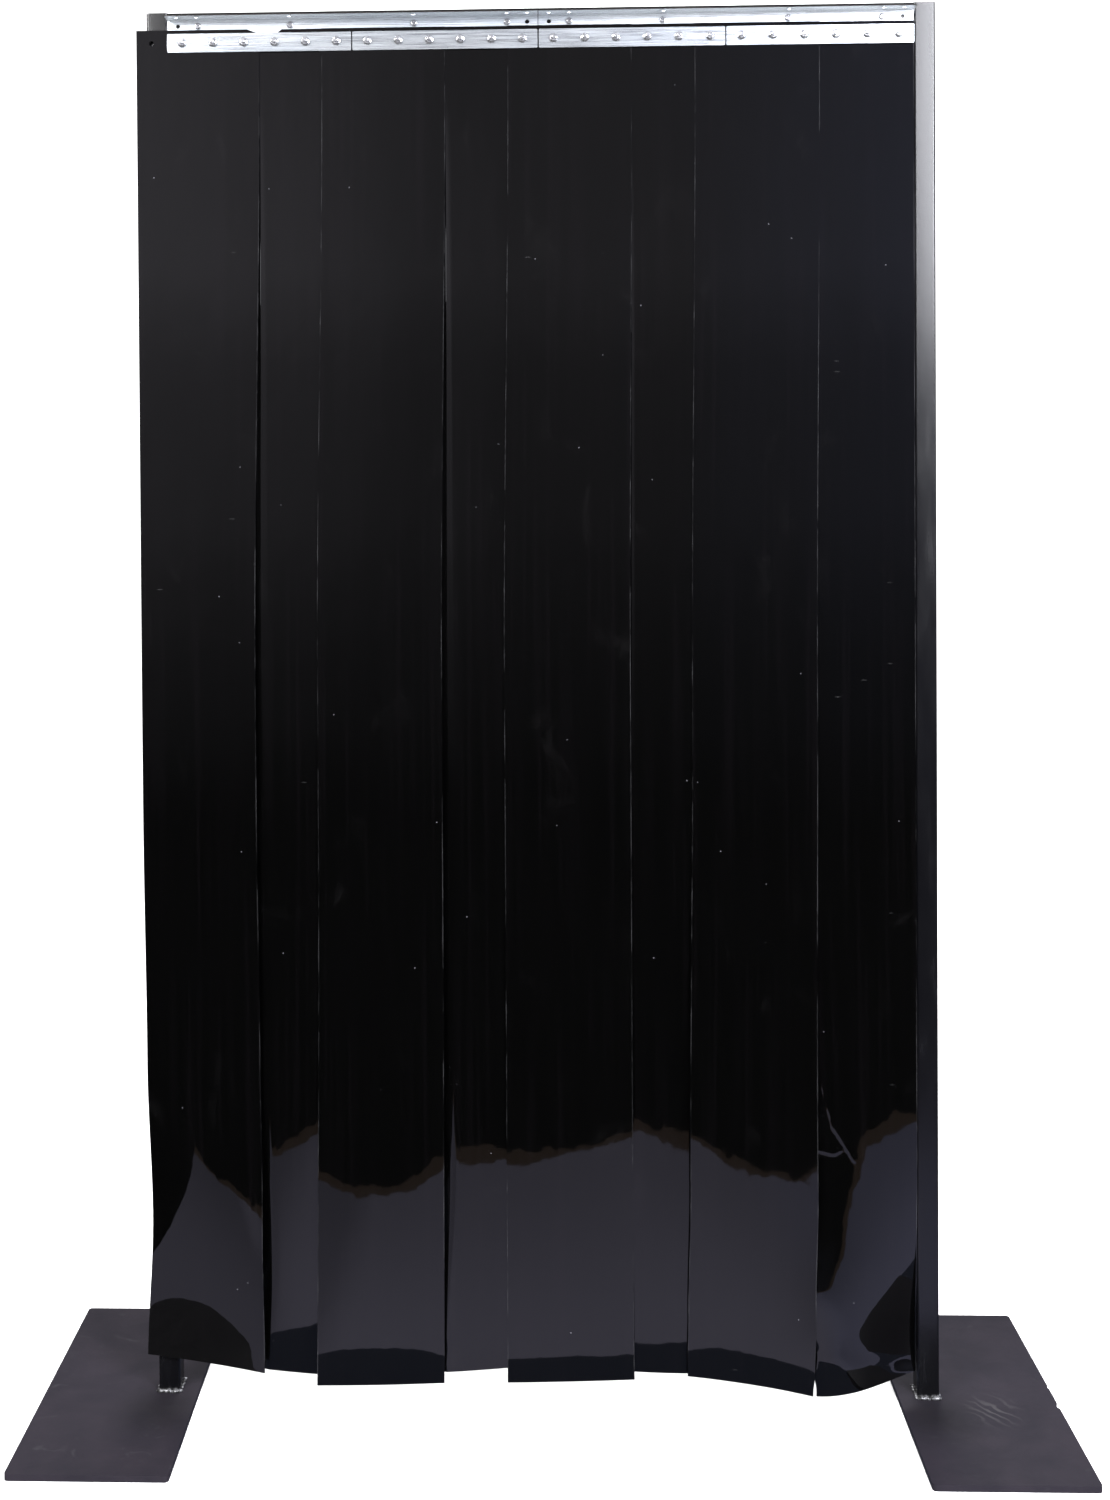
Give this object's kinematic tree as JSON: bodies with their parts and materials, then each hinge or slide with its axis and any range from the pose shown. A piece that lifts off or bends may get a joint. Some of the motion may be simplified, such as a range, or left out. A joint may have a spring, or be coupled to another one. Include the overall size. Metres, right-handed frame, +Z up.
{
  "type": "pvc strip curtain",
  "caption": "Free-standing strip curtain: black square-tube goalpost on flat foot plates, with overlapping black PVC strips clamped to a top rail; each strip swings aside.",
  "frame": {"origin": "on the floor, midway between the two foot plates", "axes": "+X across the passage from the overhung end of the curtain to the other post, -Y towards the side that the strips hang on, +Z up"},
  "size_m": [1.64, 0.5, 2.26],
  "materials": {
    "black_paint": "satin black paint on welded square steel tube",
    "foot_plate": "dark grey-black paint on flat steel plate, scuffed by shoes",
    "galvanised": "bright galvanised sheet steel",
    "zinc": "bright zinc-plated fasteners",
    "black_pvc": "glossy flexible black PVC sheet"
  },
  "bodies": {
    "frame": {"foot_plate_left": "foot_plate", "post_left": "black_paint", "foot_plate_right": "foot_plate", "post_right": "black_paint", "top_beam": "black_paint", "rail_left": "galvanised", "rail_right": "galvanised", "rail_screw_1": "zinc", "rail_screw_2": "zinc", "rail_screw_3": "zinc", "rail_screw_4": "zinc", "rail_screw_5": "zinc", "rail_screw_6": "zinc", "rail_screw_7": "zinc", "rail_screw_8": "zinc", "clamp_plate_1": "galvanised", "clamp_plate_2": "galvanised", "clamp_plate_3": "galvanised", "clamp_plate_4": "galvanised", "clamp_nut_01": "zinc", "clamp_nut_02": "zinc", "clamp_nut_03": "zinc", "clamp_nut_04": "zinc", "clamp_nut_05": "zinc", "clamp_nut_06": "zinc", "clamp_nut_07": "zinc", "clamp_nut_08": "zinc", "clamp_nut_09": "zinc", "clamp_nut_10": "zinc", "clamp_nut_11": "zinc", "clamp_nut_12": "zinc", "clamp_nut_13": "zinc", "clamp_nut_14": "zinc", "clamp_nut_15": "zinc", "clamp_nut_16": "zinc", "clamp_nut_17": "zinc", "clamp_nut_18": "zinc", "clamp_nut_19": "zinc", "clamp_nut_20": "zinc", "clamp_nut_21": "zinc", "clamp_nut_22": "zinc", "clamp_nut_23": "zinc", "clamp_nut_24": "zinc", "strip_head_1": "black_pvc", "strip_head_2": "black_pvc", "strip_head_3": "black_pvc", "strip_head_4": "black_pvc", "strip_head_5": "black_pvc", "strip_head_6": "black_pvc", "strip_head_7": "black_pvc", "strip_head_8": "black_pvc"},
    "strip_1": {"hanging_strip_1": "black_pvc"},
    "strip_2": {"hanging_strip_2": "black_pvc"},
    "strip_3": {"hanging_strip_3": "black_pvc"},
    "strip_4": {"hanging_strip_4": "black_pvc"},
    "strip_5": {"hanging_strip_5": "black_pvc"},
    "strip_6": {"hanging_strip_6": "black_pvc"},
    "strip_7": {"hanging_strip_7": "black_pvc"},
    "strip_8": {"hanging_strip_8": "black_pvc"}
  },
  "joints": [
    {"name": "strip_1_swing", "type": "hinge", "parent": "frame", "child": "strip_1", "pos_m": [-0.55, -0.0244, 2.1925], "axis": [-1, 0, 0], "range_deg": [0, 80]},
    {"name": "strip_2_swing", "type": "hinge", "parent": "frame", "child": "strip_2", "pos_m": [-0.4, -0.0201, 2.1925], "axis": [1, 0, 0], "range_deg": [0, 80]},
    {"name": "strip_3_swing", "type": "hinge", "parent": "frame", "child": "strip_3", "pos_m": [-0.25, -0.0244, 2.1925], "axis": [-1, 0, 0], "range_deg": [0, 80]},
    {"name": "strip_4_swing", "type": "hinge", "parent": "frame", "child": "strip_4", "pos_m": [-0.1, -0.0201, 2.1925], "axis": [1, 0, 0], "range_deg": [0, 80]},
    {"name": "strip_5_swing", "type": "hinge", "parent": "frame", "child": "strip_5", "pos_m": [0.05, -0.0244, 2.1925], "axis": [-1, 0, 0], "range_deg": [0, 80]},
    {"name": "strip_6_swing", "type": "hinge", "parent": "frame", "child": "strip_6", "pos_m": [0.2, -0.0201, 2.1925], "axis": [1, 0, 0], "range_deg": [0, 80]},
    {"name": "strip_7_swing", "type": "hinge", "parent": "frame", "child": "strip_7", "pos_m": [0.35, -0.0244, 2.1925], "axis": [-1, 0, 0], "range_deg": [0, 80]},
    {"name": "strip_8_swing", "type": "hinge", "parent": "frame", "child": "strip_8", "pos_m": [0.5, -0.0201, 2.1925], "axis": [1, 0, 0], "range_deg": [0, 80]}
  ]
}
